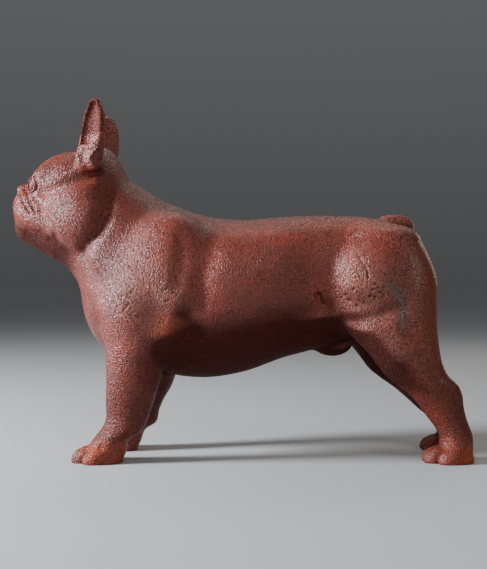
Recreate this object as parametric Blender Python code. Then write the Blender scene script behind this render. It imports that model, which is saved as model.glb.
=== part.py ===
"""A standing French bulldog in cast iron: one casting that rests on the flat soles of its four feet.

The figure is modelled as a sculptor would build it up in clay. Each mass of the body is a rounded form,
the forms melt into each other, folds and hollows are stroked in, and the feet are cut off flat.
The dog looks along -X, its left side is at -Y, and the soles stand on Z = 0."""

import bmesh
import bpy
import numpy as np
import openvdb
from mathutils import Vector

HEIGHT = 0.430  # sole to ear tip, in metres
UNIT = HEIGHT / 430  # the forms below are drawn in millimetres on a figure 430 high, and grow with it

NODE = "dog"
CLAY_STEP = 3.0  # spacing of the grid that the surface is read from
TRIANGLES = 9600  # faces left after the flat stretches are thinned
SOLE_DEPTH = 9.0  # how far the feet run on below the ground before they are cut off
# The right legs stand a little behind the left ones: heights, and how far back at each of them
FORE_STEP = ((0, 16, 30, 48, 64, 80, 100, 190), (8, 9, 12, 6.5, 7, 11, 12, 0))
HIND_STEP = ((0, 30, 55, 80, 110, 140, 200), (13.5, 13.5, 3.5, -5.5, -7, -6.5, 0))
IRON_RED_BROWN = (0.155, 0.050, 0.033, 1.0)


# Smooth curves, forms and how they melt together

def curve(at, places, values):
    """A smooth curve through the values given at some places, read at others."""
    places = np.asarray(places, float)
    values = np.asarray(values, float)
    slopes = np.gradient(values, places)
    left = np.clip(np.searchsorted(places, at) - 1, 0, len(places) - 2)
    span = places[left + 1] - places[left]
    t = np.clip((at - places[left]) / span, 0.0, 1.0)
    rest = 1.0 - t
    return (
        (1 + 2 * t) * rest**2 * values[left]
        + t * rest**2 * span * slopes[left]
        + t**2 * (3 - 2 * t) * values[left + 1]
        - t**2 * rest * span * slopes[left + 1]
    )


def fade(value, start, end):
    """0 before start, 1 after end, and a smooth step between them."""
    t = np.clip((value - start) / (end - start), 0.0, 1.0)
    return t * t * (3 - 2 * t)


def melt(first, second, softness):
    """Two forms made one, with a fillet about as wide as softness."""
    share = np.clip(0.5 + 0.5 * (second - first) / softness, 0.0, 1.0)
    return second + (first - second) * share - softness * share * (1 - share)


def carve(form, tool, softness):
    """The tool taken out of the form, with the cut edge rounded by softness."""
    return -melt(-form, tool, softness)


def rounded(offsets, sizes, power=2.0):
    """Distance to a rounded form: an ellipsoid, or squarer where power is over 2."""
    shares = [np.abs(offset) / size + 1e-4 for offset, size in zip(offsets, sizes)]
    reach = sum(share**power for share in shares) ** (1 / power)
    slope = sum((share ** (power - 1) / size) ** 2 for share, size in zip(shares, sizes))
    return (reach - 1) * reach ** (power - 1) / np.sqrt(slope)


def ball(place, centre, radii, tilt=0.0, turn=0.0, power=2.0):
    """An ellipsoid: tilt lifts its +X end, turn swings its +X end outwards, both in degrees."""
    x, w, z = (axis - middle for axis, middle in zip(place, centre))
    a, b = np.radians(tilt), np.radians(turn)
    x, w = x * np.cos(b) + w * np.sin(b), w * np.cos(b) - x * np.sin(b)
    x, z = x * np.cos(a) + z * np.sin(a), z * np.cos(a) - x * np.sin(a)
    return rounded((x, w, z), radii, power)


def limb(place, start, end, radii, spread=1.0):
    """A tapering round limb between two points, spread times as wide as it is deep."""
    x, w, z = place
    along = [b - a for a, b in zip(start, end)]
    length2 = sum(a * a for a in along)
    t = sum((axis - s) * a for axis, s, a in zip(place, start, along)) / length2
    t = np.clip(t, 0.0, 1.0)
    radius = radii[0] + (radii[1] - radii[0]) * t
    dx, dw, dz = (axis - (s + a * t) for axis, s, a in zip(place, start, along))
    return rounded((dx, dw, dz), (radius, radius * spread, radius))


def sliced(along, across, sideways, slices, cap, power=2.0):
    """A form given by slices: place along it, low and high edge, widest level, middle and half width."""
    places, low, high, level, middle, half = np.asarray(slices, float).T
    at = np.clip(along, places[0], places[-1])
    beyond = np.abs(along - at)
    widest = curve(at, places, level)
    offset = across - widest
    size = np.where(offset > 0, curve(at, places, high) - widest, widest - curve(at, places, low))
    side = sideways - curve(at, places, middle)
    return rounded((offset, side, beyond), (size, curve(at, places, half), cap), power)


def stroke(place, path, width, depth, side_weight=0.4):
    """A groove along a path of points, or a ridge where depth is below 0. The side distance counts less."""
    nearest = np.full(place[0].shape, 1e9)
    for start, end in zip(path, path[1:]):
        along = [b - a for a, b in zip(start, end)]
        along[1] *= side_weight
        offsets = [axis - s for axis, s in zip(place, start)]
        offsets[1] = offsets[1] * side_weight
        t = sum(o * a for o, a in zip(offsets, along)) / sum(a * a for a in along)
        t = np.clip(t, 0.0, 1.0)
        nearest = np.minimum(nearest, sum((o - a * t) ** 2 for o, a in zip(offsets, along)))
    return depth * np.exp(-nearest / width**2)


# The body

def trunk(p):
    """Ribcage, loin and croup as slices along X: lowest, highest, widest level, middle, half width."""
    x, w, z = p
    slices = [
        (-165, 160, 262, 205, 0, 58),
        (-130, 118, 288, 205, 0, 74),
        (-95, 103, 299, 208, 0, 81),
        (-53, 97, 295.5, 210, 0, 83),
        (0, 104, 291.5, 212, 0, 80.5),
        (50, 121.5, 295, 218, 0, 71.5),
        (85, 131, 296.5, 224, 0, 61),
        (120, 142, 296, 228, 0, 56),
        (156, 156, 293.5, 230, 0, 57),
        (190, 180, 281.5, 232, 0, 51),
    ]
    return sliced(x, z, w, slices, cap=27, power=2.15)


def neck(p):
    """A thick neck from the shoulders to the back of the skull."""
    return limb(p, (-191, 0, 298), (-109, 0, 227), (63.5, 80.5), spread=0.92)


def forechest(p):
    return ball(p, (-142, 0, 186), (52.5, 62, 64))


def shoulder(p):
    """Shoulder blade, upper arm and the muscle behind it down to the elbow, which lie on the ribcage."""
    blade = ball(p, (-96, 52, 240), (42, 29, 58), tilt=-28)
    arm = ball(p, (-130, 54, 188), (38, 31, 44), tilt=-32)
    back = ball(p, (-82, 60, 200), (30, 25, 46), tilt=14)
    elbow = ball(p, (-92, 64, 158), (19, 17, 20))
    return melt(melt(melt(blade, arm, 16), back, 14), elbow, 12)


def foreleg(p):
    """Foreleg as level slices from the pastern up to the elbow: front edge, back edge, widest, middle."""
    x, w, z = p
    slices = [
        (17, -187, -139, -162, 42.5, 21),
        (27, -179.5, -136, -157, 43, 20.5),
        (34, -174, -124.5, -149, 43.5, 20),
        (42, -168, -118, -142, 44, 19.5),
        (52, -164, -114, -138.5, 44.5, 19),
        (69, -164, -108, -136, 46, 20),
        (93, -163, -100.5, -132.5, 48.5, 22.5),
        (113, -163, -94.5, -130, 50, 25.5),
        (137, -163.5, -88, -127, 52, 28.5),
        (165, -166, -87, -126, 52, 30.5),
        (190, -168, -92, -126, 50, 31),
    ]
    return sliced(z, x, w, slices, cap=19)


def hind_leg(p):
    """Thigh, hock and rear pastern as level slices: front edge, back edge, widest, middle, half width."""
    x, w, z = p
    slices = [
        (18, 234, 274, 253, 43, 19.5),
        (34, 233, 272.5, 252, 43, 17.5),
        (42, 228, 269.5, 249, 43, 16),
        (53, 219.5, 265.5, 243, 43.5, 15),
        (66, 210.5, 262.5, 237, 44, 15),
        (80, 198.5, 260.5, 231, 45, 15.5),
        (92, 183, 255, 221, 46, 17),
        (103, 169.5, 244, 210, 46.5, 18.5),
        (116, 159.5, 237, 201, 47, 21),
        (130, 148.5, 233.8, 193, 47, 24),
        (145, 133.5, 232, 184, 46, 27),
        (162, 117, 230.7, 176, 45, 30),
        (190, 106, 231, 170, 42.5, 33.5),
        (215, 104, 231.2, 168, 40.5, 34),
        (240, 112, 224.5, 170, 37, 33.5),
        (264, 130, 213, 172, 31, 31),
    ]
    return sliced(z, x, w, slices, cap=20)


def haunch(p):
    """The muscle of the thigh that stands out beside the loin."""
    return ball(p, (152, 50, 222), (42, 30, 42))


def tail(p):
    return ball(p, (186.5, 0, 281.6), (24.5, 12.5, 16.5), power=2.4)


def sheath(p):
    return ball(p, (110, 0, 140), (25, 10, 17))


def paw(p, tip, heel):
    """Four toes in front of a broad pad that ends at the heel. The middle toes reach furthest, to tip."""
    toes = None
    for side, back in ((26, 14), (37.5, 0), (49, 0), (60, 15)):
        toe = ball(p, (tip + 13 + back, side, 4.5), (13, 8.6, 11.5), tilt=12)
        toes = toe if toes is None else melt(toes, toe, 1.5)
    pad = ball(p, (heel - 23, 43, 3), (23, 21.5, 15), power=2.4)
    return melt(toes, pad, 5)


# The head

def skull(p):
    return ball(p, (-208, 0, 318), (60, 58, 57.5))


def cheek(p):
    return ball(p, (-200, 34, 291), (45, 33, 39), turn=14)


def upper_lips(p):
    """The broad front of the muzzle, and the lips that hang back from it on each side."""
    front = ball(p, (-258.8, 0, 305), (24.5, 40, 26), power=2.3)
    lip = ball(p, (-249, 31, 292), (25, 15, 15), tilt=-24, turn=18)
    return melt(front, lip, 8)


def lower_jaw(p):
    return limb(p, (-261.5, 0, 281.5), (-225, 0, 266), (20.5, 25), spread=1.4)


def nose(p):
    return ball(p, (-270.8, 0, 326.4), (8.8, 15, 8.6), tilt=25, power=2.5)


def brow(p):
    return ball(p, (-242, 29, 340), (15, 15, 9), tilt=38)


EYE = (-253.3, 36.0, 331.3)
EYE_LOOKS = (-0.74, 0.66, 0.10)
EYEBALL = 9.0
EYEBALL_DEPTH = 6.3  # how far the middle of the eyeball lies behind the lids
LID_RADIUS = 8.7


def eyes(body, p):
    """Sets the round eye in its socket, and raises a ring of lids round it."""
    middle = [centre - EYEBALL_DEPTH * share for centre, share in zip(EYE, EYE_LOOKS)]
    body = melt(body, ball(p, middle, (EYEBALL, EYEBALL, EYEBALL)), 2.5)
    offsets = [axis - centre for axis, centre in zip(p, EYE)]
    out = sum(offset * share for offset, share in zip(offsets, EYE_LOOKS))
    off_axis = np.sqrt(np.maximum(sum(offset**2 for offset in offsets) - out**2, 1e-6))
    lids = 1.6 * np.exp(-(((off_axis - LID_RADIUS) / 1.8) ** 2))
    slit = 1.2 * np.exp(-(((off_axis - LID_RADIUS + 3.2) / 1.6) ** 2))
    return body + (slit - lids) * np.clip(1 + out / 5, 0.0, 1.0)


def nape(p):
    """The back of the head, which rises between the ears."""
    return ball(p, (-176, 0, 337), (26, 38, 44))


# The ears

EAR_OPENS = np.radians(41)  # how far the hollow side turns from straight ahead towards the side
EAR_STEP = 2.5  # how much further forward the right ear stands


def ear(p):
    """An upright bat ear: a thick shell, rounded behind, with a rim round the hollow and a folded base."""
    x, w, z = p
    x = x - curve(z, (355, 369, 386, 411, 430), (-183, -181, -178, -175.2, -174.5))
    w = w - 46 - 0.17 * (z - 350)
    across = x * np.sin(EAR_OPENS) + w * np.cos(EAR_OPENS)
    out = -x * np.cos(EAR_OPENS) + w * np.sin(EAR_OPENS)
    shell = sliced(z, out, across, [
        (352, -12, 13, 0, 0, 18),
        (366, -10.5, 12.5, 0, 0, 21.5),
        (385, -8.6, 11, 0, 0, 23),
        (402, -7.6, 10, 0, 0, 21),
        (413, -6.8, 9, 0, 0, 18),
        (424, -5.5, 6.5, 0, 0, 10.5),
    ], cap=6.5, power=2.2)
    hollow = sliced(z, out, across, [
        (382, -3.6, 24, 10, 1.8, 17.6),
        (398, -3.4, 24, 9.5, 1.8, 16.2),
        (412, -2.8, 20, 8, 1.6, 12.8),
        (420, -1.6, 14, 5.5, 1.0, 7.0),
    ], cap=5)
    base = ball(p, (-189, 47, 359), (11, 12, 15), tilt=12)
    return carve(melt(shell, base, 5), hollow, 3)


# Folds and hollows that show on the surface

def folds(p):
    """How much is taken off the surface, or laid on where it is below 0."""
    muscles = (
        stroke(p, [(-40, 80, 284), (-37, 84, 253), (-45, 84, 227), (-50, 84, 196), (-64, 84, 172)], 12, 3.4)
        + stroke(p, [(-72, 80, 267), (-72, 86, 237), (-77, 88, 211)], 9, 2.0)
        + stroke(p, [(-62, 80, 150), (-72, 70, 128)], 14, 4)
        + stroke(p, [(118, 64, 168), (138, 72, 168), (158, 74, 173), (178, 75, 183)], 9, 4.2)
        + stroke(p, [(187, 74, 204), (190, 72, 166), (204, 66, 130)], 9, 2.2)
        + stroke(p, [(-188, 44, 194), (-168, 58, 170)], 9, 2)
    )
    neck_side = (
        stroke(p, [(-160, 56, 332), (-162, 56, 300), (-172, 54, 274), (-186, 46, 256)], 9, 5)
        + stroke(p, [(-187, 46, 255), (-178, 54, 236), (-166, 60, 208)], 7, -3)
        + stroke(p, [(-187, 46, 257), (-162, 60, 270)], 6, -1.6)
    )
    face = (
        stroke(p, [(-238, 46, 321), (-217, 56, 325), (-198, 58, 333), (-182, 58, 339)], 7, 4)
        + stroke(p, [(-268, 20, 322), (-258, 34, 306), (-250, 40, 298)], 2.6, 2.4)
        + stroke(p, [(-259, 28, 324), (-249.7, 40, 300)], 2.4, 2)
        + stroke(p, [(-246, 44, 312), (-238, 48, 296), (-225, 50, 277)], 3, 2.6)
        + stroke(p, [(-286, 0, 292), (-268, 28, 283), (-250, 38, 278), (-231, 44, 277)], 4, 1.8)
    )
    return muscles + neck_side + face


def casting(x, y, z):
    """The whole figure: below 0 inside, above 0 outside, in the drawn millimetres."""
    p = (x, np.abs(y), z)
    right = np.where(y > 0, 1.0, 0.0)
    ears = (x + right * EAR_STEP, p[1], z)
    fore = (x - right * curve(z, *FORE_STEP), p[1], z)
    hind = (x - right * curve(z, *HIND_STEP), p[1], z)
    body = melt(trunk(p), neck(p), 22)
    body = melt(body, forechest(p), 18)
    body = melt(body, shoulder(p), 16)
    body = melt(body, foreleg(fore), 14)
    body = melt(body, hind_leg(hind), 16)
    body = melt(body, haunch(p), 9)
    body = melt(body, tail(p), 7)
    body = melt(body, sheath(p), 7)
    head = melt(skull(p), cheek(p), 12)
    head = melt(head, lower_jaw(p), 8)
    head = melt(head, upper_lips(p), 8)
    head = melt(head, brow(p), 11)
    head = melt(head, nose(p), 3)
    body = melt(body, head, 12)
    body = melt(body, nape(p), 18)
    body = melt(body, ear(ears), 6)
    body = eyes(body + folds(p), p)
    for place, tip, heel in ((fore, -204.5, -144.0), (hind, 214.0, 274.5)):
        body = melt(body, paw(place, tip, heel), 5)
    return np.maximum(body, -z - SOLE_DEPTH)


# From the form to the solid

LOW = np.array([-300.0, -102.0, -15.0])
HIGH = np.array([300.0, 102.0, 444.0])


def cast(step):
    """The figure's surface as a mesh, read from the form on a grid."""
    axes = [np.arange(low, high + step, step) for low, high in zip(LOW, HIGH)]
    x, y, z = np.meshgrid(*axes, indexing="ij")
    grid = openvdb.FloatGrid(2 * step)
    grid.copyFromArray(np.clip(casting(x, y, z), -2 * step, 2 * step).astype(np.float32))
    points, _, quads = grid.convertToPolygons(isovalue=0.0, adaptivity=0.0)
    mesh = bpy.data.meshes.new(NODE)
    mesh.from_pydata((points * step + LOW) * UNIT, [], [tuple(quad) for quad in quads])
    return mesh


def thin(obj):
    """Thins the mesh, which keeps its faces where the form is finest."""
    mesh = obj.data
    modifier = obj.modifiers.new("thin", "DECIMATE")
    modifier.use_collapse_triangulate = True
    modifier.ratio = TRIANGLES / (2 * len(mesh.polygons))
    graph = bpy.context.evaluated_depsgraph_get()
    thinned = bpy.data.meshes.new_from_object(obj.evaluated_get(graph))
    obj.modifiers.clear()
    obj.data = thinned
    bpy.data.meshes.remove(mesh)


def cut_soles(mesh):
    """Cuts the feet off at the ground, and closes each one with a flat sole."""
    form = bmesh.new()
    form.from_mesh(mesh)
    geometry = form.verts[:] + form.edges[:] + form.faces[:]
    cut = bmesh.ops.bisect_plane(
        form, geom=geometry, dist=1e-6, plane_co=(0, 0, 0), plane_no=(0, 0, 1), clear_inner=True
    )
    rims = [item for item in cut["geom_cut"] if isinstance(item, bmesh.types.BMEdge)]
    bmesh.ops.edgeloop_fill(form, edges=rims)
    bmesh.ops.recalc_face_normals(form, faces=form.faces[:])
    form.to_mesh(mesh)
    form.free()


def centre_on_origin(mesh):
    """Puts the middle of the figure's length and width over the origin."""
    corners = [Vector(vertex.co) for vertex in mesh.vertices]
    for axis in (0, 1):
        values = [corner[axis] for corner in corners]
        middle = (min(values) + max(values)) / 2
        for vertex in mesh.vertices:
            vertex.co[axis] -= middle


def iron():
    """Cast iron with a waxed red-brown skin of rust."""
    material = bpy.data.materials.new("red_brown_iron")
    material.use_nodes = True
    shader = material.node_tree.nodes["Principled BSDF"]
    shader.inputs["Base Color"].default_value = IRON_RED_BROWN
    shader.inputs["Roughness"].default_value = 0.45
    shader.inputs["Metallic"].default_value = 0.2
    return material


def main():
    for obj in list(bpy.data.objects):
        bpy.data.objects.remove(obj)
    statue = bpy.data.collections.new("cast_iron_dog")
    bpy.context.scene.collection.children.link(statue)
    dog = bpy.data.objects.new(NODE, cast(CLAY_STEP))
    statue.objects.link(dog)
    thin(dog)
    cut_soles(dog.data)
    centre_on_origin(dog.data)
    dog.data.shade_smooth()
    dog.data.materials.append(iron())


if __name__ == "__main__":
    main()
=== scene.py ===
import bpy
import numpy as np
import openvdb
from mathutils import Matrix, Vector


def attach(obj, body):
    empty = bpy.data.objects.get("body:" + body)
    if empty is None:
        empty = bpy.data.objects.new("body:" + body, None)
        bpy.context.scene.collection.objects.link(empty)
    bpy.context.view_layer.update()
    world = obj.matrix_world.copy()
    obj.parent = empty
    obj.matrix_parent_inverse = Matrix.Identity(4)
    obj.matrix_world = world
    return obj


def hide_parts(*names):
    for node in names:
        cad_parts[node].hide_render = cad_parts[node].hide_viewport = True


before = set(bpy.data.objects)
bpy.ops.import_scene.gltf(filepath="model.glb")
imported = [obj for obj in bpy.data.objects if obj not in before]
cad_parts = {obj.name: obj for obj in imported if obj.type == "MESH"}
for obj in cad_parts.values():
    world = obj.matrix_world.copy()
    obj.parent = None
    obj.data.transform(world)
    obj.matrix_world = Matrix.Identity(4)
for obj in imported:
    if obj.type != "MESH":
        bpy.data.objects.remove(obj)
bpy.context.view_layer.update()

# The trunk: ribcage, loin and croup of the dog, the first of the forms that the cast iron figure is made of.
# Each form is a distance in millimetres, below 0 inside it, and is drawn by slices, balls and limbs that
# melt into each other. The figure looks along -X, w is the distance from its middle, and soles stand on 0.
UNIT = 0.001
MIDDLE = 2.51  # the middle of the figure's length lies this far behind the zero that it is drawn from


def curve(at, places, values):
    """A smooth curve through the values given at some places, read at others."""
    places = np.asarray(places, float)
    values = np.asarray(values, float)
    slopes = np.gradient(values, places)
    left = np.clip(np.searchsorted(places, at) - 1, 0, len(places) - 2)
    span = places[left + 1] - places[left]
    t = np.clip((at - places[left]) / span, 0.0, 1.0)
    rest = 1.0 - t
    return (
        (1 + 2 * t) * rest**2 * values[left]
        + t * rest**2 * span * slopes[left]
        + t**2 * (3 - 2 * t) * values[left + 1]
        - t**2 * rest * span * slopes[left + 1]
    )


def rounded(offsets, sizes, power=2.0):
    """Distance to a rounded form: an ellipsoid, or squarer where power is over 2."""
    shares = [np.abs(offset) / size + 1e-4 for offset, size in zip(offsets, sizes)]
    reach = sum(share**power for share in shares) ** (1 / power)
    slope = sum((share ** (power - 1) / size) ** 2 for share, size in zip(shares, sizes))
    return (reach - 1) * reach ** (power - 1) / np.sqrt(slope)


def sliced(along, across, sideways, slices, cap, power=2.0):
    """A form given by slices: place along it, low and high edge, widest level, middle and half width."""
    places, low, high, level, middle, half = np.asarray(slices, float).T
    at = np.clip(along, places[0], places[-1])
    widest = curve(at, places, level)
    offset = across - widest
    size = np.where(offset > 0, curve(at, places, high) - widest, widest - curve(at, places, low))
    side = sideways - curve(at, places, middle)
    return rounded((offset, side, np.abs(along - at)), (size, curve(at, places, half), cap), power)


def trunk(p):
    x, w, z = p
    slices = [
        (-165, 160, 262, 205, 0, 58),
        (-130, 118, 288, 205, 0, 74),
        (-95, 103, 299, 208, 0, 81),
        (-53, 97, 295.5, 210, 0, 83),
        (0, 104, 291.5, 212, 0, 80.5),
        (50, 121.5, 295, 218, 0, 71.5),
        (85, 131, 296.5, 224, 0, 61),
        (120, 142, 296, 228, 0, 56),
        (156, 156, 293.5, 230, 0, 57),
        (190, 180, 281.5, 232, 0, 51),
    ]
    return sliced(x, z, w, slices, cap=27, power=2.15)


# Neck, chest and shoulders of the casting: a thick neck limb, a round forechest, and on each side the
# shoulder blade, the upper arm, the muscle behind it and the elbow, as balls laid on the ribcage.
def melt(first, second, softness):
    """Two forms made one, with a fillet about as wide as softness."""
    share = np.clip(0.5 + 0.5 * (second - first) / softness, 0.0, 1.0)
    return second + (first - second) * share - softness * share * (1 - share)


def ball(place, centre, radii, tilt=0.0, turn=0.0, power=2.0):
    """An ellipsoid: tilt lifts its +X end, turn swings its +X end outwards, both in degrees."""
    x, w, z = (axis - middle for axis, middle in zip(place, centre))
    a, b = np.radians(tilt), np.radians(turn)
    x, w = x * np.cos(b) + w * np.sin(b), w * np.cos(b) - x * np.sin(b)
    x, z = x * np.cos(a) + z * np.sin(a), z * np.cos(a) - x * np.sin(a)
    return rounded((x, w, z), radii, power)


def limb(place, start, end, radii, spread=1.0):
    """A tapering round limb between two points, spread times as wide as it is deep."""
    along = [b - a for a, b in zip(start, end)]
    length2 = sum(a * a for a in along)
    t = sum((axis - s) * a for axis, s, a in zip(place, start, along)) / length2
    t = np.clip(t, 0.0, 1.0)
    radius = radii[0] + (radii[1] - radii[0]) * t
    dx, dw, dz = (axis - (s + a * t) for axis, s, a in zip(place, start, along))
    return rounded((dx, dw, dz), (radius, radius * spread, radius))


def chest(p):
    """Trunk, neck and forechest melted together."""
    neck = limb(p, (-191, 0, 298), (-109, 0, 227), (63.5, 80.5), spread=0.92)
    forechest = ball(p, (-142, 0, 186), (52.5, 62, 64))
    return melt(melt(trunk(p), neck, 22), forechest, 18)


def shoulder(p):
    blade = ball(p, (-96, 52, 240), (42, 29, 58), tilt=-28)
    arm = ball(p, (-130, 54, 188), (38, 31, 44), tilt=-32)
    back = ball(p, (-82, 60, 200), (30, 25, 46), tilt=14)
    elbow = ball(p, (-92, 64, 158), (19, 17, 20))
    return melt(melt(melt(blade, arm, 16), back, 14), elbow, 12)


# The legs and paws, cast in one with the body. Each leg is drawn as level slices, and the right legs
# stand a little further back. A paw is four toes, each with a blunt claw, in front of a broad pad.
# Levels, and how far behind the left leg the right one stands at each.
FORE_STEP = ((0, 16, 30, 48, 64, 80, 100, 190), (8, 9, 12, 6.5, 7, 11, 12, 0))
HIND_STEP = ((0, 30, 55, 80, 110, 140, 200), (13.5, 13.5, 3.5, -5.5, -7, -6.5, 0))
FORE_PAW = (-204.5, -144.0)  # where the tip of the longest toe is, and the heel
HIND_PAW = (214.0, 274.5)
TOES = ((26, 14), (37.5, 0), (49, 0), (60, 15))  # distance from the middle, and how far back it starts
CLAW_DENT = 1.5  # depth of the dent in the front of each toe, above its claw


def foreleg(p):
    x, w, z = p
    slices = [
        (17, -187, -139, -162, 42.5, 21),
        (27, -179.5, -136, -157, 43, 20.5),
        (34, -174, -124.5, -149, 43.5, 20),
        (42, -168, -118, -142, 44, 19.5),
        (52, -164, -114, -138.5, 44.5, 19),
        (69, -164, -108, -136, 46, 20),
        (93, -163, -100.5, -132.5, 48.5, 22.5),
        (113, -163, -94.5, -130, 50, 25.5),
        (137, -163.5, -88, -127, 52, 28.5),
        (165, -166, -87, -126, 52, 30.5),
        (190, -168, -92, -126, 50, 31),
    ]
    return sliced(z, x, w, slices, cap=19)


def hind_leg(p):
    x, w, z = p
    slices = [
        (18, 234, 274, 253, 43, 19.5),
        (34, 233, 272.5, 252, 43, 17.5),
        (42, 228, 269.5, 249, 43, 16),
        (53, 219.5, 265.5, 243, 43.5, 15),
        (66, 210.5, 262.5, 237, 44, 15),
        (80, 198.5, 260.5, 231, 45, 15.5),
        (92, 183, 255, 221, 46, 17),
        (103, 169.5, 244, 210, 46.5, 18.5),
        (116, 159.5, 237, 201, 47, 21),
        (130, 148.5, 233.8, 193, 47, 24),
        (145, 133.5, 232, 184, 46, 27),
        (162, 117, 230.7, 176, 45, 30),
        (190, 106, 231, 170, 42.5, 33.5),
        (215, 104, 231.2, 168, 40.5, 34),
        (240, 112, 224.5, 170, 37, 33.5),
        (264, 130, 213, 172, 31, 31),
    ]
    return sliced(z, x, w, slices, cap=20)


def haunch(p):
    """The muscle of the thigh that stands out beside the loin."""
    return ball(p, (152, 50, 222), (42, 30, 42))


def paw(p, tip, heel):
    toes = None
    for side, back in TOES:
        front = tip + back
        toe = ball(p, (front + 13, side, 4.5), (13, 8.6, 11.5), tilt=12)
        knuckle = ball(p, (front + 19, side, 10), (9, 6.6, 8.4), tilt=-14)
        toe = melt(toe, knuckle, 4)
        off_dent = (p[0] - front - 4.6) ** 2 + (p[2] - 6.4) ** 2 + (p[1] - side) ** 2 / 9
        toe = toe + CLAW_DENT * np.exp(-off_dent / 5)
        toes = toe if toes is None else melt(toes, toe, 1.3)
    pad = ball(p, (heel - 23, 43, 3), (23, 21.5, 15), power=2.4)
    return melt(toes, pad, 4)


# The docked tail and the sheath under the belly, two small forms of the same casting.
def tail(p):
    return ball(p, (186.5, 0, 281.6), (24.5, 12.5, 16.5), power=2.4)


def sheath(p):
    return ball(p, (110, 0, 140), (25, 10, 17))


# The head: a broad skull with full cheeks, a short square muzzle whose lips hang over the lower jaw,
# a flat nose with two nostrils, and round eyes that stand out between their lids.
def carve(form, tool, softness):
    """The tool taken out of the form, with the cut edge rounded by softness."""
    return -melt(-form, tool, softness)


def head(p):
    skull = ball(p, (-208, 0, 318), (60, 58, 57.5))
    cheek = ball(p, (-200, 34, 291), (45, 33, 39), turn=14)
    jaw = limb(p, (-261.5, 0, 281.5), (-225, 0, 266), (20.5, 25), spread=1.4)
    front = ball(p, (-258.8, 0, 305), (24.5, 40, 26), power=2.3)
    lip = ball(p, (-249, 31, 292), (25, 15, 15), tilt=-24, turn=18)
    brow = ball(p, (-242, 29, 340), (15, 15, 9), tilt=38)
    nose = ball(p, (-270.8, 0, 326.4), (8.8, 15, 8.6), tilt=25, power=2.5)
    form = melt(melt(skull, cheek, 12), jaw, 8)
    form = melt(form, melt(front, lip, 8), 8)
    form = melt(form, brow, 11)
    return melt(form, nose, 3)


def nostrils(p):
    return ball(p, (-281.5, 7.5, 324.5), (4, 2.8, 2.2), tilt=35)


EYE = (-253.3, 36.0, 331.3)
EYE_LOOKS = (-0.74, 0.66, 0.10)
EYEBALL = 9.0
EYEBALL_DEPTH = 6.3  # how far the middle of the eyeball lies behind the lids
LID_RADIUS = 8.7
LID_RINGS = [  # how far each ring stands out, how far outside the lids it runs, and its width
    (-1.5, -2.2, 1.0),  # the slit between the eyeball and the lids
    (1.7, 0.0, 1.3),  # the lids
    (-1.0, 2.6, 1.3),  # the crease round them
]
LIDS_REACH = 5  # how far into the head the rings run out


def eyes(body, p):
    """Sets the round eye in its socket, and raises a ring of lids round it."""
    middle = [centre - EYEBALL_DEPTH * share for centre, share in zip(EYE, EYE_LOOKS)]
    body = melt(body, ball(p, middle, (EYEBALL, EYEBALL, EYEBALL)), 2.5)
    offsets = [axis - centre for axis, centre in zip(p, EYE)]
    out = sum(offset * share for offset, share in zip(offsets, EYE_LOOKS))
    off_axis = np.sqrt(np.maximum(sum(offset**2 for offset in offsets) - out**2, 1e-6))
    rings = sum(
        height * np.exp(-(((off_axis - LID_RADIUS - outside) / width) ** 2))
        for height, outside, width in LID_RINGS
    )
    return body - rings * np.clip(1 + out / LIDS_REACH, 0.0, 1.0)


# The ears: upright bat ears, thick and rounded behind, with a rim round the hollow in front. Below
# the hollow a ledge crosses the ear, and its folded base closes in two lobes on the side of the skull.
EAR_OPENS = np.radians(41)  # how far the hollow side turns from straight ahead towards the side
EAR_STEP = 2.5  # how much further forward the right ear stands


def ear(p):
    x, w, z = p
    x = x - curve(z, (355, 369, 386, 411, 430), (-183, -181, -178, -175.2, -174.5))
    w = w - 46 - 0.17 * (z - 350)
    across = x * np.sin(EAR_OPENS) + w * np.cos(EAR_OPENS)
    out = -x * np.cos(EAR_OPENS) + w * np.sin(EAR_OPENS)
    shell = sliced(z, out, across, [
        (352, -12, 13, 0, 0, 18),
        (366, -10.5, 12.5, 0, 0, 21.5),
        (385, -8.6, 11, 0, 0, 23),
        (402, -7.6, 10, 0, 0, 21),
        (413, -6.8, 9, 0, 0, 18),
        (424, -5.5, 6.5, 0, 0, 10.5),
    ], cap=6.5, power=2.2)
    hollow = sliced(z, out, across, [
        (382, -2.8, 24, 10, 1.6, 18.4),
        (398, -2.6, 24, 9.5, 1.6, 17),
        (412, -2.0, 20, 8, 1.4, 13.8),
        (422, -1.4, 14, 5.5, 1.0, 7.4),
    ], cap=5)
    base = ball(p, (-189, 47, 359), (11, 12, 15), tilt=12)
    return carve(melt(shell, base, 5), hollow, 2.4)


def nape(p):
    """The back of the head, which rises between the ears."""
    return ball(p, (-176, 0, 337), (26, 38, 44))


# Folds and hollows, stroked into the clay: the grooves between the muscles of shoulder, flank and
# thigh, the crest down the side of the neck, the wrinkles of the face and the folds of the ear base.
OUTSIDE = 104.0  # more than the figure's half width
SIDE_STEP = 0.5  # how closely the side of the figure is felt for
RUN_OUT = 0.45  # share of its length over which a one-sided fold runs out at each end


def masses(p, fore, hind, ears):
    """All the big forms melted into one body, before the folds."""
    body = melt(chest(p), shoulder(p), 16)
    body = melt(body, foreleg(fore), 14)
    body = melt(body, hind_leg(hind), 16)
    body = melt(body, haunch(p), 9)
    body = melt(body, tail(p), 7)
    body = melt(body, sheath(p), 7)
    body = melt(body, head(p), 12)
    body = melt(body, nape(p), 18)
    return melt(body, ear(ears), 6)


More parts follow.
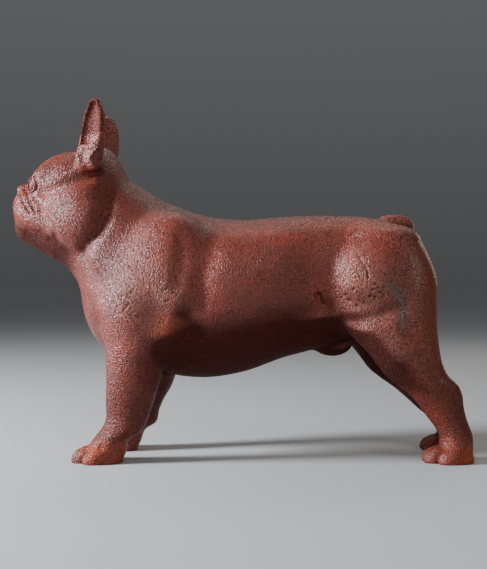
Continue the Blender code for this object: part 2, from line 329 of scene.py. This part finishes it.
def draped(path, spacing=5.0):
    """A path of (x, z) points drawn from the side, laid on the big forms with points close together."""
    path = np.asarray(path, float)
    along = np.concatenate([[0], np.cumsum(np.hypot(*np.diff(path, axis=0).T))])
    at = np.linspace(0, along[-1], int(along[-1] / spacing) + 3)
    x, z = (curve(at, along, column) for column in path.T)
    w = np.arange(OUTSIDE, 0.0, -SIDE_STEP)
    ray = [np.repeat(x, len(w)), np.tile(w, len(x)), np.repeat(z, len(w))]
    inside = masses(ray, ray, ray, ray).reshape(len(x), len(w)) < 0
    found = inside.any(1)
    return np.stack([x, w[inside.argmax(1)], z], 1)[found]


def fade(value, start, end):
    """0 before start, 1 after end, and a smooth step between them."""
    t = np.clip((value - start) / (end - start), 0.0, 1.0)
    return t * t * (3 - 2 * t)


def stroke(place, path, width, depth, side_weight=0.5):
    """A groove along a path of points, or a ridge where depth is below 0.

    The width may be a pair, for the left and the right of the path as seen from the side, so that a
    fold can rise slowly and stop at an edge, and such a fold runs out at its ends. Distance towards
    the middle of the body counts less.
    """
    left, right = width if isinstance(width, tuple) else (width, width)
    wide = max(left, right)
    path = np.asarray(path, float)
    taken = np.zeros(place[0].shape)
    near = np.ones(place[0].shape, bool)
    for axis, column, reach in zip(place, path.T, (3 * wide, 3 * wide / side_weight, 3 * wide)):
        near &= (axis > column.min() - reach) & (axis < column.max() + reach)
    if not near.any():
        return taken
    scale = np.array([1.0, side_weight, 1.0])
    spots = np.stack([axis[near] for axis in place], 1) * scale
    nearest = np.full(len(spots), 1e9)
    turned = np.zeros(len(spots))
    place_on = np.zeros(len(spots))
    passed = 0.0
    for start, end in zip(path[:-1] * scale, path[1:] * scale):
        along = end - start
        length = np.sqrt(along @ along)
        offset = spots - start
        t = np.clip(offset @ along / length**2, 0.0, 1.0)
        gap = ((offset - t[:, None] * along) ** 2).sum(1)
        closer = gap < nearest
        nearest[closer] = gap[closer]
        turned[closer] = (along[0] * offset[:, 2] - along[2] * offset[:, 0])[closer]
        place_on[closer] = (passed + t * length)[closer]
        passed += length
    amount = depth * np.exp(-nearest / np.where(turned > 0, left, right) ** 2)
    if left != right:
        amount = amount * fade(np.minimum(place_on, passed - place_on) / passed, 0.0, RUN_OUT)
    taken[near] = amount
    return taken


BROAD_FOLDS = [  # width, depth, path of x, w, z
    (12, 3.4, [(-40, 80, 284), (-37, 84, 253), (-45, 84, 227), (-50, 84, 196), (-64, 84, 172)]),
    (9, 2.0, [(-72, 80, 267), (-72, 86, 237), (-77, 88, 211)]),
    (14, 4, [(-62, 80, 150), (-72, 70, 128)]),
    (9, 2.8, [(118, 64, 168), (138, 72, 168), (158, 74, 173), (178, 75, 183)]),
    (9, 2.2, [(187, 74, 204), (190, 72, 166), (204, 66, 130)]),
    (9, 2, [(-188, 44, 194), (-168, 58, 170)]),
    (9, 5, [(-160, 56, 332), (-162, 56, 300), (-172, 54, 274), (-186, 46, 256)]),
    (7, 4, [(-238, 46, 321), (-217, 56, 325), (-198, 58, 333), (-182, 58, 339)]),
    (1.4, 0.7, [(-286, 0, 290), (-279, 14, 288.5)]),
    (1.4, 1.5, [(-287, 0, 318), (-287, 0, 294)]),
]
SIDE_FOLDS = [  # width, depth, path of x, z as seen from the side
    (1.4, -1.7, [(-270.4, 327), (-262, 310.8), (-250, 295.5)]),
    (2.4, 2.2, [(-268.5, 321), (-261.5, 308), (-254.5, 297.8)]),
    (1.9, 1.8, [(-264.7, 328), (-256, 312), (-249.5, 301)]),
    (1.6, -0.9, [(-261, 320), (-253.5, 308), (-246.5, 300)]),
    (1.5, 1.5, [(-251, 315), (-247, 309.5), (-242.5, 304)]),
    (4.5, -1.0, [(-249, 318), (-244, 312)]),
    (3.6, 1.9, [(-241, 299), (-232.2, 289.7), (-226.8, 283), (-222.8, 276.8), (-222.8, 268)]),
    ((3, 9), 2.4, [
        (-287, 293), (-277, 288.5), (-270, 284.5), (-262, 279), (-253, 275.5), (-240, 274), (-226, 269),
    ]),
    (4.5, 2.6, [(-231, 266), (-222, 263)]),
    (3.5, 1.6, [(-234.2, 315.7), (-229.2, 319.6)]),
    ((2.4, 17), -2.6, [
        (-187.3, 255.7), (-175.9, 261.5), (-164.9, 267.2), (-157.5, 274.2), (-152, 287), (-149, 300),
    ]),
    ((24, 2.6), -4.4, [(-190, 264), (-183, 249.8), (-177.8, 237.9), (-171.5, 222.6), (-163, 204)]),
    (1.6, -2.0, [(-168.5, 372), (-176.9, 364.5), (-180.5, 358.5), (-174.9, 353), (-168.1, 352.1)]),
    (1.7, -1.5, [(-194.5, 379), (-196.3, 365), (-193.5, 354), (-190, 346.5), (-183, 346.5), (-174.3, 349)]),
    (3.2, 1.6, [(-188, 370), (-189, 360), (-184, 352)]),
    (2.6, 1.8, [(-173, 363), (-169, 358)]),
    (2.4, -1.5, [(-190, 374), (-180, 372), (-171, 373)]),
    (1.7, -0.9, [(183, 207), (185, 193.5), (186.6, 167), (192, 150), (204, 122)]),
    (2.6, 1.6, [(88.5, 199), (93, 188)]),
    ((9, 2.5), -2.4, [
        (54.7, 160.4), (72.5, 166), (90.8, 169.9), (109.4, 169.9), (122, 162), (134.9, 147.8),
    ]),
    (8, 3.4, [(56, 146), (74, 152), (92, 156), (108, 156)]),
    (12, -2.2, [(150, 160), (163, 141), (176, 120)]),
    (3, 2.2, [(-168, 20), (-169.5, 11), (-168.5, 2)]),
]
FOLDS = BROAD_FOLDS + [(width, depth, draped(path)) for width, depth, path in SIDE_FOLDS]


def folds(p):
    """How much is taken off the surface, or laid on where it is below 0."""
    return sum(stroke(p, path, width, depth) for width, depth, path in FOLDS)


# Marks of the sand mould and of age: short scratches and pits in the near haunch and the shoulder,
# where the iron shows them, and others in keeping on the far side.
SCRATCHES = [  # width, depth, path of x, z as seen from the side
    (1.0, 1.3, [(135, 241.9), (142.4, 229.1), (144.3, 219.2)]),
    (1.0, 0.9, [(132, 227), (138.7, 215)]),
    (1.0, 0.9, [(126.9, 269.6), (136.2, 278.5)]),
    (1.2, 1.0, [(-133.6, 199), (-127.5, 203.5)]),
    (1.2, 0.9, [(-137, 182), (-131, 190)]),
]
CUTS = [(width, depth, draped(path)) for width, depth, path in SCRATCHES]
PITS = [
    (152, 211), (156, 207), (161, 197), (158, 202), (150, 205), (163, 208), (140, 189), (147, 197),
    (88, 192), (84, 197), (-89, 206), (-81, 202), (-89, 192), (-121, 174), (-138, 200), (152, 196),
    (119, 199), (124, 193), (132, 186), (128, 205), (206, 124), (210, 117), (215, 110),
]
PIT_DEPTH = 0.8
PIT_LENGTH = 2.1  # where its width is 1
PIT_TURN = 2.4  # how far each pit is turned past the one before it
FLANK = 40  # pits are cut where the surface lies further than this from the middle


def marks(p):
    x, w, z = p
    cut = sum(stroke(p, path, width, depth) for width, depth, path in CUTS)
    side = 1 - np.exp(-((w / FLANK) ** 4))
    for number, (pit_x, pit_z) in enumerate(PITS):
        turn = PIT_TURN * number
        along = (x - pit_x) * np.cos(turn) + (z - pit_z) * np.sin(turn)
        across = (z - pit_z) * np.cos(turn) - (x - pit_x) * np.sin(turn)
        cut = cut + PIT_DEPTH * side * np.exp(-((along / PIT_LENGTH) ** 2) - across**2)
    return cut


# The casting itself: all forms melted into one body, read as a surface on a fine grid, thinned where it
# is flat, and then drawn tight onto the form again, so that folds and marks keep their edges.
STEP = 1.4  # spacing of the grid
COARSE = 6  # grid steps in one of the coarse cells that show where the surface runs
NEAR = 1.6  # a coarse cell is read finely where the surface is less than this many cells from its middle
TRIANGLES = 192000
LOW = np.array([-300.0, -OUTSIDE, -12.0])
HIGH = np.array([304.0, OUTSIDE, 444.0])


def figure(x, y, z):
    """The whole figure: below 0 inside, above 0 outside."""
    p = (x, np.abs(y), z)
    right = np.where(y > 0, 1.0, 0.0)
    fore = (x - right * curve(z, *FORE_STEP), p[1], z)
    hind = (x - right * curve(z, *HIND_STEP), p[1], z)
    ears = (x + right * EAR_STEP, p[1], z)
    body = eyes(masses(p, fore, hind, ears) + folds(p), p)
    body = carve(body, nostrils(p), 1)
    body = melt(body, paw(fore, *FORE_PAW), 4)
    body = melt(body, paw(hind, *HIND_PAW), 4)
    return body + marks(p)


def by_parts(form, points, size=400000):
    """The form read at many points, a part of them at a time."""
    return np.concatenate([form(*points[i:i + size].T) for i in range(0, len(points), size)])


def enlarged(cells):
    """The coarse cells, each repeated for the grid points in it."""
    return np.repeat(np.repeat(np.repeat(cells, COARSE, 0), COARSE, 1), COARSE, 2)


def surface():
    """Points and faces of the figure's surface."""
    count = np.ceil((HIGH - LOW) / (STEP * COARSE)).astype(int)
    cells = np.indices(count).reshape(3, -1).T
    middle = by_parts(figure, LOW + (cells + 0.5) * STEP * COARSE).reshape(count)
    near = np.abs(middle) < NEAR * STEP * COARSE
    edge = 2 * STEP
    values = np.where(enlarged(middle) > 0, edge, -edge)
    places = np.argwhere(enlarged(near))
    values[tuple(places.T)] = np.clip(by_parts(figure, LOW + places * STEP), -edge, edge)
    grid = openvdb.FloatGrid(edge)
    grid.copyFromArray(values.astype(np.float32))
    points, _, quads = grid.convertToPolygons(isovalue=0.0, adaptivity=0.0)
    return points * STEP + LOW, quads


def tightened(points, rounds=2, reach=0.35, gentlest=0.2, longest=1.5):
    """The points moved along the form's slope until they lie on the surface.

    The slope is read over reach to both sides, and its square counts as gentlest where it is less.
    A gap over longest is closed by longest only.
    """
    for _ in range(rounds):
        slope = np.stack([
            by_parts(figure, points + side) - by_parts(figure, points - side)
            for side in np.eye(3) * reach
        ], 1) / (2 * reach)
        gap = by_parts(figure, points)[:, None] / np.maximum((slope**2).sum(1, keepdims=True), gentlest)
        points = points - np.clip(gap, -longest, longest) * slope
    return points


def read_points(mesh):
    flat = np.empty(len(mesh.vertices) * 3)
    mesh.vertices.foreach_get("co", flat)
    return flat.reshape(-1, 3)


points, quads = surface()
clay = bpy.data.meshes.new("clay")
clay.from_pydata(points, [], quads.tolist())
dog = bpy.data.objects.new("cast_iron_dog", clay)
bpy.context.scene.collection.objects.link(dog)
thinner = dog.modifiers.new("thinner", "DECIMATE")
thinner.use_collapse_triangulate = True
thinner.ratio = TRIANGLES / (2 * len(quads))
casting = bpy.data.meshes.new_from_object(dog.evaluated_get(bpy.context.evaluated_depsgraph_get()))
dog.modifiers.clear()
dog.data = casting
bpy.data.meshes.remove(clay)

points = tightened(read_points(casting))
points[:, 2] = np.maximum(points[:, 2], 0.0)
drawn = points.copy()
points[:, 0] -= MIDDLE
casting.vertices.foreach_set("co", (points * UNIT).ravel())
casting.update()
casting.shade_smooth()


# The patina of the iron, marked on the casting's points: how deep each lies in a fold, where orange rust
# is left, where the skin is coarse (a mark that also carries a painted sheen), where the rump is rubbed
# smooth and brown, the grey-green streak, and the painted shade, where shade falls on the ear hollows, the
# jaw, the underside, the lower legs and the neck behind the ears.
PROBE = 5  # how far outside the surface the form is read: in a fold, the iron is nearer to that place
ORANGE_SPOTS = [  # place and reach
    (-236, 46, 316, 5), (-199, 54, 352, 4), (-181, 62, 394, 14), (-180, 64, 410, 12),
    (-84, 74, 166, 16), (-92, 70, 152, 12), (232, 50, 56, 9), (-176, 60, 12, 16), (-130, 60, 8, 18),
    (262, 55, 8, 18), (-184, 56, 338, 9), (-245, 44, 270, 8), (100, 70, 190, 14),
]
# Where the skin is coarse, and where a painted sheen lightens the haunch, thigh and shoulder.
COARSE_SKIN_AND_SHEEN = [(150, 74, 205, 42), (168, 66, 140, 30), (-108, 86, 188, 38)]
STREAK = [(171, 75, 209), (180, 74, 200), (185.5, 72, 187), (186, 72, 168)]
STREAK_WIDTH = 6.0
MOUTH_LINE = ((-287, -262, -240, -222, -200), (293, 279, 274, 267, 248))  # x, and how high the lips end


def mark(name, values):
    attribute = casting.attributes.new(name, "FLOAT", "POINT")
    attribute.data.foreach_set("value", np.asarray(values, np.float32))


def near_spots(place, spots):
    """How close each point is to some spots: 1 in the middle of one, and 0 away from them all."""
    near = sum(
        np.exp(-sum((axis - centre) ** 2 for axis, centre in zip(place, spot[:3])) / spot[3] ** 2)
        for spot in spots
    )
    return np.clip(near, 0, 1)


def painted_shade_parts(place, forward, sideways, down, hollow):
    """How much painted shade each point gets, from where it is and which way its surface faces."""
    x, w, z = place
    # Painted shade: the ear hollows turned from the lamps, the jaw and mouth corner, the underside, the
    # lower legs, and the neck behind the ears.
    into_ear = fade(np.sin(EAR_OPENS) * sideways + np.cos(EAR_OPENS) * forward, -0.1, 0.4)
    ear_hollow = 0.85 * into_ear * fade(hollow + fade(z, 384, 392), 0.4, 1.2) * fade(z, 380, 388)
    jaw = 0.95 * fade(curve(x, *MOUTH_LINE) - z, -2, 4) * fade(-x, 195, 215)
    mouth_corner = np.exp(-((x + 227) ** 2 + (z - 266) ** 2) / 36) * fade(w, 20, 40)
    underside = fade(down, 0.08, 0.40) * fade(z, 60, 100) * fade(x, -150, -110)
    lower_legs = 0.5 * fade(-z, -150, -60) * fade(z, 16, 34)
    neck = 0.4 * np.exp(-((x + 160) ** 2 + (z - 318) ** 2) / 1500)
    return np.maximum.reduce([ear_hollow, jaw, mouth_corner, underside, lower_legs, neck])


place = (drawn[:, 0], np.abs(drawn[:, 1]), drawn[:, 2])
normals = np.empty(len(drawn) * 3)
casting.vertices.foreach_get("normal", normals)
normals = normals.reshape(-1, 3)
sideways = normals[:, 1] * np.sign(drawn[:, 1])
hollow = fade(PROBE - by_parts(figure, drawn + normals * PROBE), 0.1, 2.2)
behind_line = place[0] + 0.10 * (place[2] - 200) + 0.25 * place[1]
mark("hollow", hollow)
mark("orange", near_spots(place, ORANGE_SPOTS))
# coarse skin, which also carries a painted sheen in the colour
mark("coarse_and_sheen", near_spots(place, COARSE_SKIN_AND_SHEEN))
mark("rubbed", fade(behind_line, 208, 224) * fade(place[2], 55, 90))
mark("streak", stroke(place, STREAK, STREAK_WIDTH, 1.0))
# painted shade: darker where shade falls on the ear hollows, jaw, underside, lower legs and neck
mark("painted_shade", painted_shade_parts(place, -normals[:, 0], sideways, -normals[:, 2], hollow))


# The skin that the sand left on the casting: low lumps and small pits pushed into the whole surface
# by a node group, strongest where the skin is coarse, on the shoulder and the haunch.
PIT_SPACING = 4.0  # how many radii the pits lie apart
PLAIN_SHARE = 0.25  # how much of the relief there is where the skin isn't coarse


def calculator(tree):
    """A function that does a sum in a tree of nodes, on numbers and on what other nodes give."""
    def math(operation, first, second):
        node = tree.nodes.new("ShaderNodeMath")
        node.operation = operation
        for socket, value in zip(node.inputs, (first, second)):
            if isinstance(value, (int, float)):
                socket.default_value = value
            else:
                tree.links.new(value, socket)
        return node.outputs[0]

    return math


def cast_skin(lumps, lump_size, pits, pit_size, seed):
    """Geometry nodes that move each point along its normal by noise and by scattered pits."""
    group = bpy.data.node_groups.new("cast_skin", "GeometryNodeTree")
    face = group.interface
    sizes = {"Lumps": lumps, "Lump Size": lump_size, "Pits": pits, "Pit Size": pit_size, "Seed": seed}
    face.new_socket("Geometry", in_out="INPUT", socket_type="NodeSocketGeometry")
    for name in sizes:
        face.new_socket(name, in_out="INPUT", socket_type="NodeSocketFloat")
    face.new_socket("Material", in_out="INPUT", socket_type="NodeSocketMaterial")
    face.new_socket("Geometry", in_out="OUTPUT", socket_type="NodeSocketGeometry")
    nodes, links = group.nodes, group.links
    math = calculator(group)
    given = nodes.new("NodeGroupInput")
    position = nodes.new("GeometryNodeInputPosition")
    noise = nodes.new("ShaderNodeTexNoise")
    noise.noise_dimensions = "4D"
    noise.inputs["Detail"].default_value = 2.0
    links.new(position.outputs[0], noise.inputs["Vector"])
    links.new(given.outputs["Seed"], noise.inputs["W"])
    links.new(math("DIVIDE", 1.0, given.outputs["Lump Size"]), noise.inputs["Scale"])
    dots = nodes.new("ShaderNodeTexVoronoi")
    dots.voronoi_dimensions = "4D"
    links.new(position.outputs[0], dots.inputs["Vector"])
    links.new(given.outputs["Seed"], dots.inputs["W"])
    links.new(math("DIVIDE", 1 / PIT_SPACING, given.outputs["Pit Size"]), dots.inputs["Scale"])
    lump = math("MULTIPLY", math("SUBTRACT", noise.outputs[0], 0.5), given.outputs["Lumps"])
    off_pit = math("MULTIPLY", dots.outputs["Distance"], PIT_SPACING)
    depth = math("MAXIMUM", math("SUBTRACT", 1.0, off_pit), 0.0)
    pit = math("MULTIPLY", depth, given.outputs["Pits"])
    coarse_and_sheen = nodes.new("GeometryNodeInputNamedAttribute")
    coarse_and_sheen.data_type = "FLOAT"
    coarse_and_sheen.inputs["Name"].default_value = "coarse_and_sheen"
    share = math("ADD", PLAIN_SHARE, math("MULTIPLY", coarse_and_sheen.outputs["Attribute"], 1 - PLAIN_SHARE))
    amount = math("MULTIPLY", math("SUBTRACT", lump, pit), share)
    normal = nodes.new("GeometryNodeInputNormal")
    push = nodes.new("ShaderNodeVectorMath")
    push.operation = "SCALE"
    links.new(normal.outputs[0], push.inputs[0])
    links.new(amount, push.inputs["Scale"])
    moved = nodes.new("GeometryNodeSetPosition")
    links.new(given.outputs["Geometry"], moved.inputs["Geometry"])
    links.new(push.outputs[0], moved.inputs["Offset"])
    real = nodes.new("GeometryNodeRealizeInstances")
    links.new(moved.outputs[0], real.inputs[0])
    painted = nodes.new("GeometryNodeSetMaterial")
    links.new(real.outputs[0], painted.inputs["Geometry"])
    links.new(given.outputs["Material"], painted.inputs["Material"])
    links.new(painted.outputs[0], nodes.new("NodeGroupOutput").inputs[0])
    return group, sizes


# Red-brown rust under worn wax, with no bare metal. The patina marks tint the rust; the painted shade mark
# darkens it nearly to black where shade falls, and the coarse mark lightens it with a painted sheen. Grain
# and pits of 1 to 3 mm are in its colour, roughness and bump. The wax is a clear coat, which is worn off the
# pits and thin in the folds, on the orange rust and where shade is painted.
EVEN_RED = (0.190, 0.023, 0.010)
DEEP_RED = (0.135, 0.020, 0.009)
BRIGHT_RED = (0.300, 0.031, 0.011)
TINTS = [  # mark, how much of its colour shows, and the colour
    # painted sheen: a lighter, greyer red where the haunch, thigh and shoulder catch the light
    ("coarse_and_sheen", 0.5, (0.230, 0.078, 0.052)),
    ("rubbed", 0.85, (0.130, 0.024, 0.008)),
    ("streak", 0.75, (0.095, 0.078, 0.055)),
    ("hollow", 0.8, (0.070, 0.009, 0.005)),
    ("orange", 0.6, (0.380, 0.075, 0.020)),
    # painted shade: near-black red on the ear hollows, jaw, underside, lower legs and neck behind the ears
    ("painted_shade", 0.92, (0.035, 0.005, 0.003)),
]
PIT_BROWN = (0.030, 0.005, 0.003)
SPECK_PINK = (0.460, 0.110, 0.060)
RUST_SHINE = 0.15
RUST_RELIEF = 0.0018
WAX_SHARE = 0.85
WAX_ROUGHNESS = 0.27
WAX_RELIEF = 0.0010  # less than the rust's, because the wax fills its grain


def waxed_rust():
    material = bpy.data.materials.new("red_brown_iron")
    material.use_nodes = True
    nodes, links = material.node_tree.nodes, material.node_tree.links
    math = calculator(material.node_tree)
    shader = nodes["Principled BSDF"]
    where = nodes.new("ShaderNodeTexCoord").outputs["Object"]

    def noise(size, detail=2.0, roughness=0.5):
        node = nodes.new("ShaderNodeTexNoise")
        node.inputs["Scale"].default_value = 1 / size
        node.inputs["Detail"].default_value = detail
        node.inputs["Roughness"].default_value = roughness
        links.new(where, node.inputs["Vector"])
        return node.outputs[0]

    def spread(value, low, high):
        node = nodes.new("ShaderNodeMapRange")
        node.inputs["From Min"].default_value = low
        node.inputs["From Max"].default_value = high
        links.new(value, node.inputs["Value"])
        return node.outputs[0]

    def tint(share, below, colour):
        node = nodes.new("ShaderNodeMix")
        node.data_type = "RGBA"
        links.new(share, node.inputs["Factor"])
        if isinstance(below, tuple):
            node.inputs["A"].default_value = (*below, 1)
        else:
            links.new(below, node.inputs["A"])
        node.inputs["B"].default_value = (*colour, 1)
        return node.outputs["Result"]

    def patina(name):
        node = nodes.new("ShaderNodeAttribute")
        node.attribute_name = name
        return node.outputs["Fac"]

    grain = noise(0.0021, 2.0, 0.6)
    specks = noise(0.0014, 1.0)
    clouds = noise(0.055, 3.0)
    blotches = noise(0.016, 2.0)
    base = tint(spread(clouds, 0.38, 0.66), EVEN_RED, DEEP_RED)
    base = tint(math("MULTIPLY", spread(blotches, 0.56, 0.72), 0.5), base, BRIGHT_RED)
    for name, share, colour in TINTS:
        base = tint(math("MULTIPLY", patina(name), share), base, colour)
    pits = spread(math("ADD", math("MULTIPLY", grain, 0.6), math("MULTIPLY", specks, 0.4)), 0.49, 0.38)
    base = tint(math("MULTIPLY", pits, 0.72), base, PIT_BROWN)
    base = tint(math("MULTIPLY", spread(specks, 0.60, 0.74), 0.25), base, SPECK_PINK)
    links.new(base, shader.inputs["Base Color"])

    rough = math("ADD", math("MULTIPLY", spread(grain, 0.3, 0.7), -0.14), 0.52)
    rough = math("ADD", rough, math("MULTIPLY", patina("painted_shade"), 0.25))
    links.new(math("ADD", rough, math("MULTIPLY", patina("hollow"), 0.12)), shader.inputs["Roughness"])
    shader.inputs["Metallic"].default_value = 0.0
    shader.inputs["Specular IOR Level"].default_value = RUST_SHINE
    shader.inputs["Coat Roughness"].default_value = WAX_ROUGHNESS
    # no wax, and so no gloss, on the pits and where shade is painted
    waxed = math("MULTIPLY", math("SUBTRACT", 1.0, pits), spread(patina("painted_shade"), 0.95, 0.10))
    dull = math("ADD", math("MULTIPLY", patina("hollow"), 0.6), math("MULTIPLY", patina("orange"), 0.8))
    waxed = math("MULTIPLY", waxed, spread(dull, 1.0, 0.0))
    links.new(math("MULTIPLY", waxed, WAX_SHARE), shader.inputs["Coat Weight"])

    relief = math("ADD", grain, math("MULTIPLY", specks, 0.75))
    relief = math("ADD", relief, math("MULTIPLY", noise(0.005, 2.0), 0.25))
    strength = math("SUBTRACT", 1.0, math("MULTIPLY", patina("rubbed"), 0.6))
    for height, distance, target in (
        (relief, RUST_RELIEF, "Normal"),
        (math("ADD", grain, specks), WAX_RELIEF, "Coat Normal"),
    ):
        bump = nodes.new("ShaderNodeBump")
        bump.inputs["Distance"].default_value = distance
        links.new(height, bump.inputs["Height"])
        links.new(strength, bump.inputs["Strength"])
        links.new(bump.outputs[0], shader.inputs[target])
    return material


rust = waxed_rust()
group, sizes = cast_skin(lumps=0.0014, lump_size=0.007, pits=0.0004, pit_size=0.0022, seed=4.0)
skin = dog.modifiers.new("skin", "NODES")
skin.node_group = group
sockets = {item.name: item.identifier for item in group.interface.items_tree if item.in_out == "INPUT"}
for name, size in sizes.items():
    skin[sockets[name]] = size
skin[sockets["Material"]] = rust
skinned = bpy.data.meshes.new_from_object(dog.evaluated_get(bpy.context.evaluated_depsgraph_get()))
dog.modifiers.clear()
dog.data = skinned
soles = read_points(skinned)
soles[:, 2] = np.maximum(soles[:, 2], 0.0)
skinned.vertices.foreach_set("co", soles.ravel())
skinned.update()
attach(dog, "root")
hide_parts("dog")

# The place that the figure is shown in: a wide pale floor, soft lamps, and a camera that looks
# straight at its left side from a little over a metre away.
REACH = 60.0
FLOOR_SHADE = 0.36
FLOOR_ROUGHNESS = 0.9
corners = [(-REACH, -REACH, 0), (REACH, -REACH, 0), (REACH, REACH, 0), (-REACH, REACH, 0)]
ground = bpy.data.meshes.new("floor")
ground.from_pydata(corners, [], [(0, 1, 2, 3)])
floor = bpy.data.objects.new("floor", ground)
bpy.context.scene.collection.objects.link(floor)
plaster = bpy.data.materials.new("pale_floor")
plaster.use_nodes = True
plain = plaster.node_tree.nodes["Principled BSDF"].inputs
plain["Base Color"].default_value = (FLOOR_SHADE, FLOOR_SHADE, FLOOR_SHADE, 1)
plain["Roughness"].default_value = FLOOR_ROUGHNESS
ground.materials.append(plaster)

HORIZON = (0.067, 0.068, 0.070)
OVERHEAD = (0.220, 0.224, 0.231)  # bright enough that the far floor is as light as the horizon
world = bpy.context.scene.world or bpy.data.worlds.new("studio")
bpy.context.scene.world = world
world.use_nodes = True
sky, wires = world.node_tree.nodes, world.node_tree.links
direction = sky.new("ShaderNodeTexCoord")
apart = sky.new("ShaderNodeSeparateXYZ")
wires.new(direction.outputs["Generated"], apart.inputs[0])
dome = sky.new("ShaderNodeMix")
dome.data_type = "RGBA"
wires.new(apart.outputs["Z"], dome.inputs["Factor"])
dome.inputs["A"].default_value = (*HORIZON, 1)
dome.inputs["B"].default_value = (*OVERHEAD, 1)
wires.new(dome.outputs["Result"], sky["Background"].inputs["Color"])

LOOK_AT = Vector((0.0, 0.0, 0.22))


def lamp(name, place, size, power, colour):
    light = bpy.data.lights.new(name, "AREA")
    light.shape = "RECTANGLE"
    light.size, light.size_y = size
    light.energy = power
    light.color = colour
    holder = bpy.data.objects.new(name, light)
    holder.location = place
    holder.visible_camera = False
    holder.rotation_euler = (LOOK_AT - Vector(place)).to_track_quat("-Z", "Y").to_euler()
    bpy.context.scene.collection.objects.link(holder)


lamp("key_left", (-1.75, -0.38, 0.86), (0.4, 0.7), 132, (0.86, 0.92, 1.0))
lamp("front_fill", (-0.6, -2.0, 1.9), (1.6, 1.2), 11, (1.0, 0.95, 0.90))
lamp("right_fill", (1.6, -1.5, 1.2), (1.0, 1.0), 14, (1.0, 0.97, 0.94))
lamp("top_back", (0.3, 1.3, 1.9), (1.8, 0.5), 10, (1.0, 0.90, 0.80))
lamp("rim_right", (1.5, 1.7, 0.8), (0.4, 0.9), 3, (1.0, 0.86, 0.72))

FOCAL_PIXELS = 927.2
FRAME_HEIGHT = 569
SENSOR = 36.0
CAMERA_AWAY = 1.150
CAMERA_HEIGHT = 0.2115
camera = bpy.data.cameras.new("camera")
camera.sensor_width = SENSOR
camera.lens = SENSOR * FOCAL_PIXELS / FRAME_HEIGHT
viewer = bpy.data.objects.new("camera", camera)
viewer.location = (-MIDDLE * UNIT, -CAMERA_AWAY, CAMERA_HEIGHT)
viewer.rotation_euler = (np.pi / 2, 0, 0)
bpy.context.scene.collection.objects.link(viewer)
bpy.context.scene.camera = viewer
